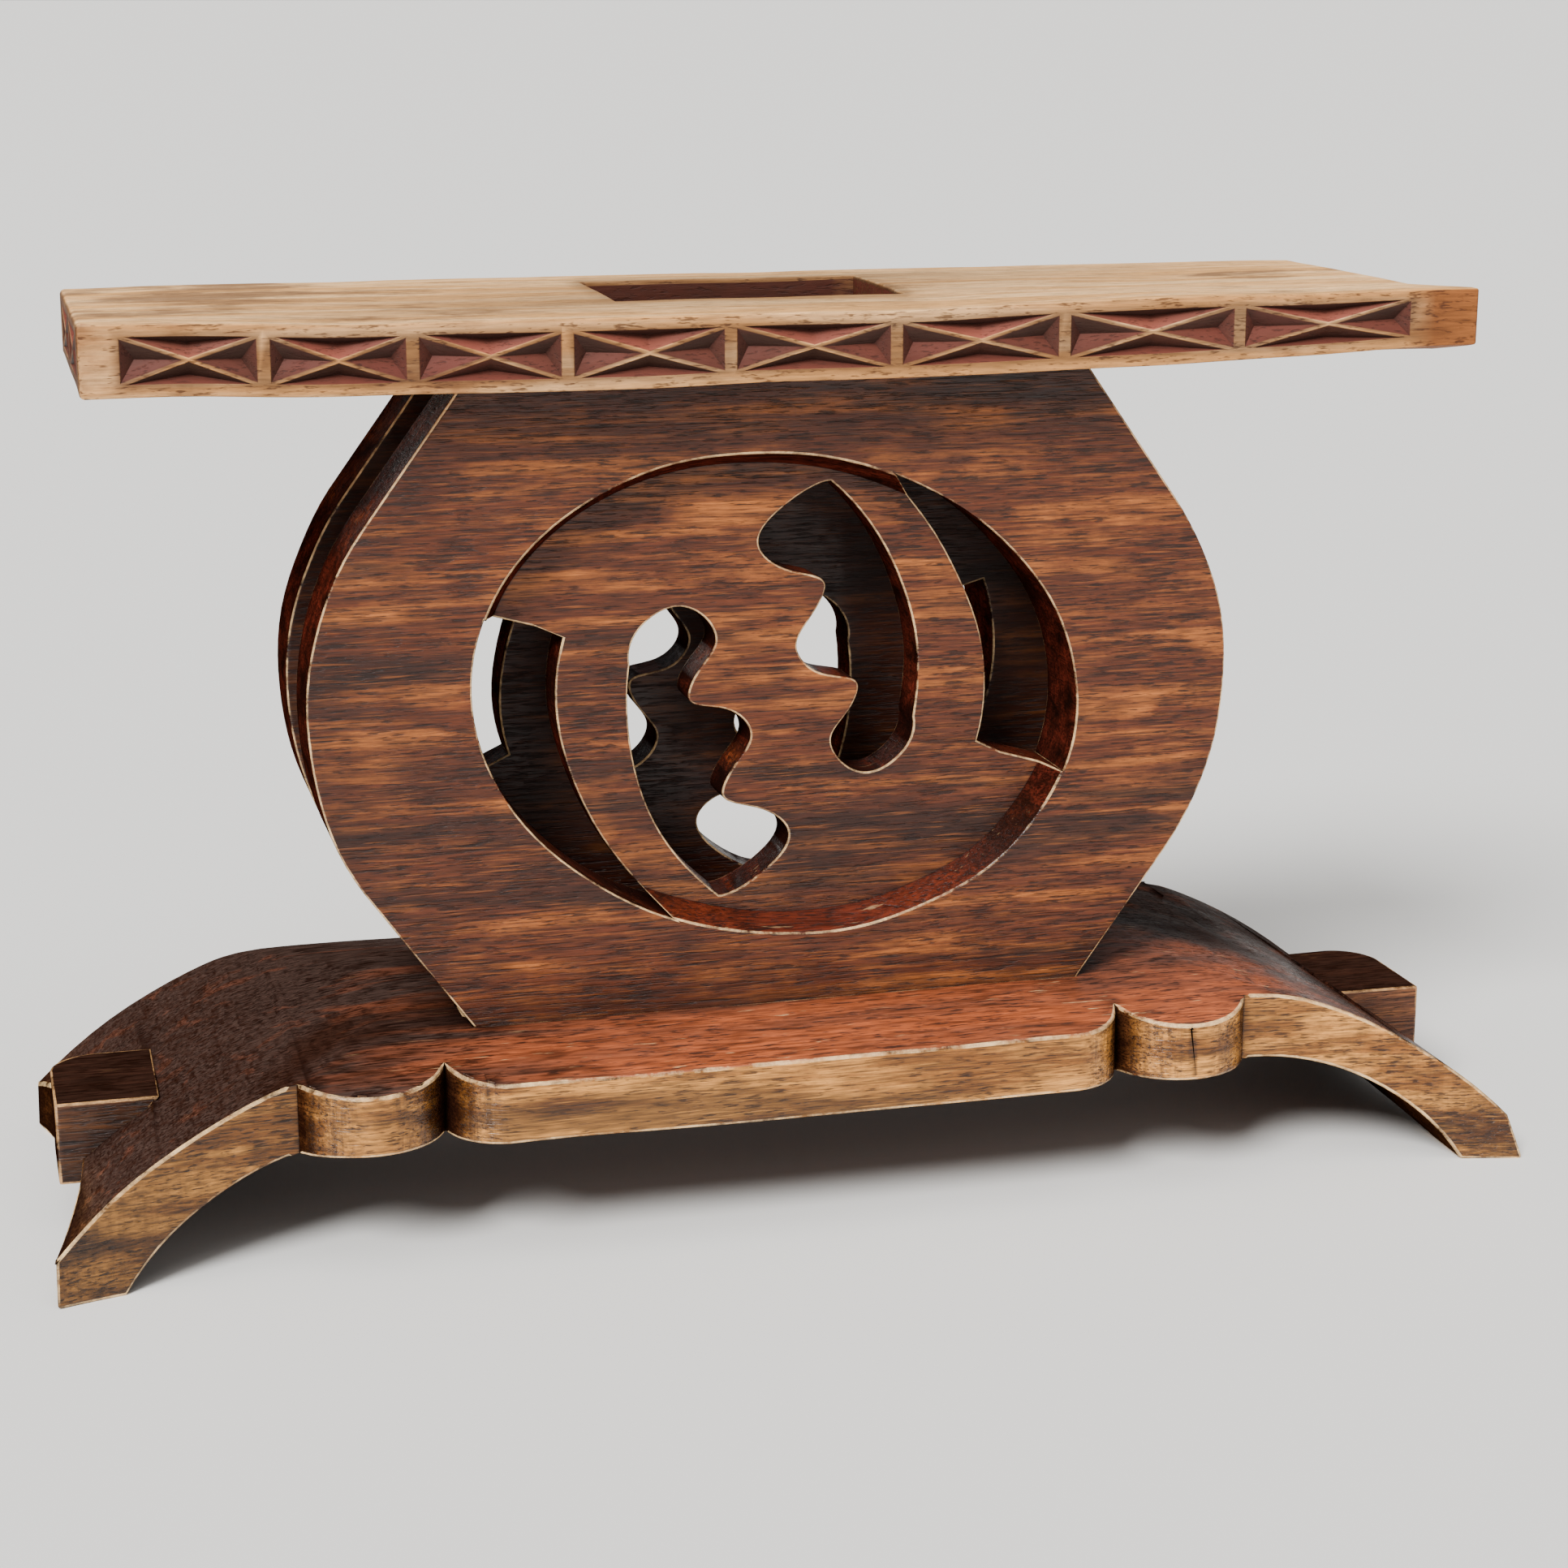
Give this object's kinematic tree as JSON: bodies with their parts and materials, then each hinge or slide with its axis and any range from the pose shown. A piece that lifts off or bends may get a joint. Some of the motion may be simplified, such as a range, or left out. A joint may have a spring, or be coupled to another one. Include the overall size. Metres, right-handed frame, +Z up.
{
  "type": "carved wooden headrest",
  "caption": "Carved wooden headrest: slotted flat board on two openwork disc panels, standing on an arched scalloped base with end lugs.",
  "frame": {"origin": "on the ground under the middle of the whole piece", "axes": "+Z up, +X along the board, -Y towards the scalloped front edge of the base"},
  "size_m": [0.441, 0.148, 0.2645],
  "materials": {
    "raw_top_wood": "bare pale hardwood, worn smooth, stain left in the carving",
    "stained_panel_wood": "brown stained hardwood, rubbed through to gold on faces and edges",
    "stained_base_wood": "red-brown stained and waxed hardwood, semi-gloss, scuffed",
    "dowel_wood": "bare turned hardwood"
  },
  "bodies": {
    "root": {"top_board": "raw_top_wood", "front_panel": "stained_panel_wood", "back_panel": "stained_panel_wood", "arched_base": "stained_base_wood", "left_end_block": "stained_base_wood", "right_end_block": "stained_base_wood", "front_panel_head_dowels": "dowel_wood", "front_panel_foot_dowels": "dowel_wood", "back_panel_head_dowels": "dowel_wood", "back_panel_foot_dowels": "dowel_wood", "left_block_dowels": "dowel_wood", "right_block_dowels": "dowel_wood"}
  },
  "joints": []
}
